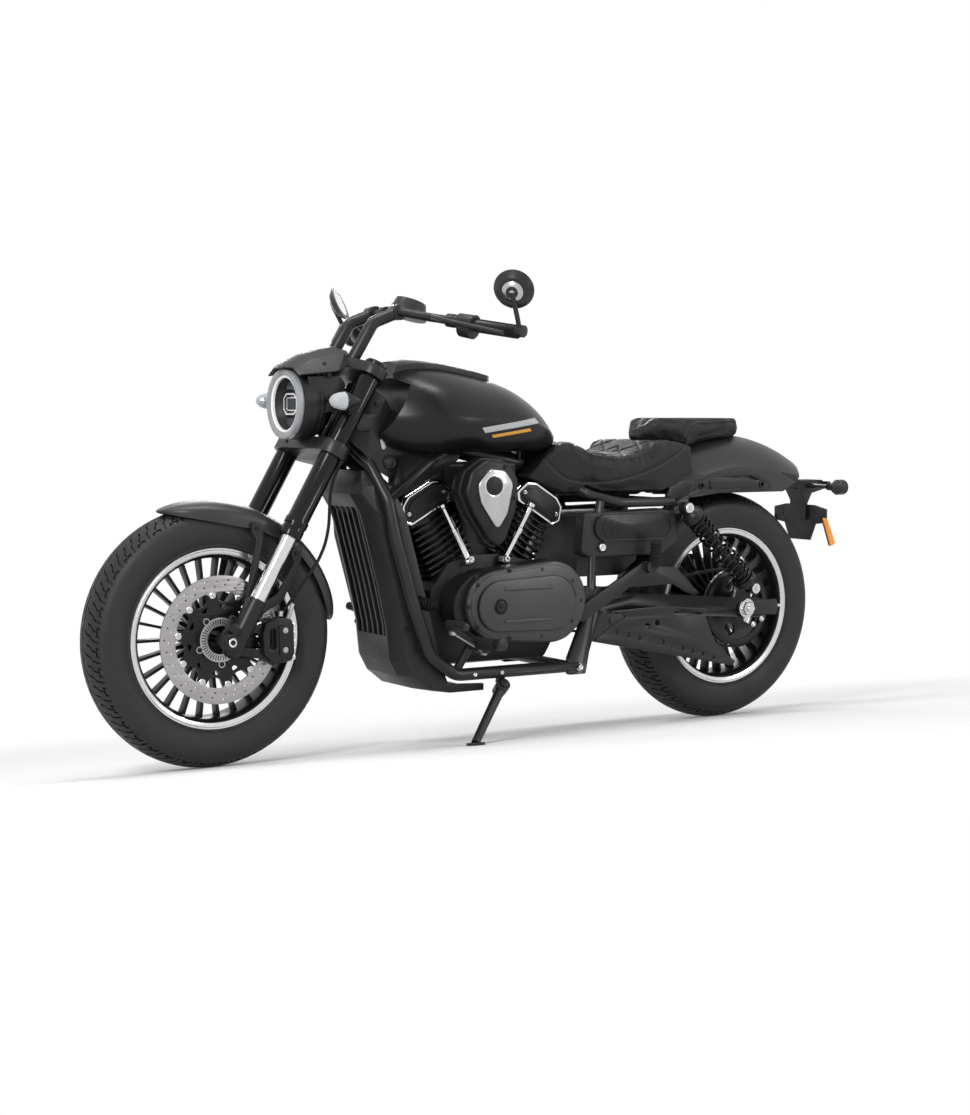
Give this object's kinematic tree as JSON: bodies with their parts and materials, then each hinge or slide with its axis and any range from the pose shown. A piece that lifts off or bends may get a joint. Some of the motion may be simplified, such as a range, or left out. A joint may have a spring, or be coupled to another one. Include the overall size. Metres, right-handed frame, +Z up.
{
  "type": "cruiser motorcycle",
  "caption": "Black cruiser motorcycle with a V-twin engine, belt drive and round headlight, leaning on its side stand.",
  "frame": {"origin": "on the floor, under the middle of the bounding box", "axes": "+X forward, +Y to the rider's left, +Z up from the floor"},
  "size_m": [2.293, 0.934, 1.2599],
  "materials": {
    "frame_black": "satin",
    "tank_black": "satin",
    "panel_black": "matte",
    "engine_black": "satin",
    "cover_graphite": "satin",
    "chrome": "polished",
    "fork_black": "gloss",
    "bare_steel": "brushed",
    "wheel_black": "satin",
    "tyre_rubber": "matte",
    "soft_rubber": "matte",
    "seat_leather": "satin",
    "lamp_glass": "clear",
    "exhaust_black": "matte"
  },
  "bodies": {
    "chassis": {"frame": "frame_black", "crankcase": "engine_black", "cylinders": "engine_black", "pushrod_tubes": "chrome", "air_cleaner": "engine_black", "primary_cover": "cover_graphite", "radiator": "engine_black", "radiator_shroud": "panel_black", "fuel_tank": "tank_black", "tank_console": "panel_black", "rider_seat": "seat_leather", "pillion_seat": "seat_leather", "rear_fender": "tank_black", "side_covers": "panel_black", "battery_box": "panel_black", "swingarm": "frame_black", "rear_axle": "bare_steel", "belt_guards": "frame_black", "drive_belt": "soft_rubber", "shock_absorbers": "fork_black", "exhaust": "exhaust_black", "footrests": "frame_black", "foot_controls": "frame_black", "rear_caliper": "frame_black", "tail_bracket": "panel_black"},
    "steering": {"fork_yokes": "frame_black", "fork_outer_tubes": "fork_black", "fork_lowers": "chrome", "front_axle": "bare_steel", "handlebar": "frame_black", "grips": "soft_rubber", "bar_controls": "frame_black", "mirrors": "frame_black", "headlight_shell": "panel_black", "headlight_lens": "lamp_glass", "headlight_cowl": "panel_black", "front_signals": "panel_black", "instrument": "panel_black", "front_fender": "tank_black", "front_caliper": "frame_black", "brake_hose": "soft_rubber"},
    "front_wheel": {"front_tyre": "tyre_rubber", "front_rim": "wheel_black", "front_disc": "bare_steel"},
    "rear_wheel": {"rear_tyre": "tyre_rubber", "rear_rim": "wheel_black", "rear_pulley": "wheel_black", "rear_disc": "bare_steel"},
    "stand": {"side_stand": "frame_black"}
  },
  "joints": [
    {"name": "steering", "type": "hinge", "parent": "chassis", "child": "steering", "pos_m": [0.45, -0.04724, 0.83274], "axis": [-0.5, 0.1205, 0.8576], "range_deg": [-32, 32]},
    {"name": "front_wheel_spin", "type": "hinge", "parent": "steering", "child": "front_wheel", "pos_m": [0.8265, -0.11962, 0.31776], "axis": [0, 0.9903, -0.1392], "continuous": true},
    {"name": "rear_wheel_spin", "type": "hinge", "parent": "chassis", "child": "rear_wheel", "pos_m": [-0.7485, -0.1192, 0.32073], "axis": [0, 0.9903, -0.1392], "continuous": true},
    {"name": "side_stand", "type": "hinge", "parent": "chassis", "child": "stand", "pos_m": [0.0665, 0.00864, 0.13816], "axis": [0.0533, 0.8433, 0.5348], "range_deg": [0, 118]}
  ]
}
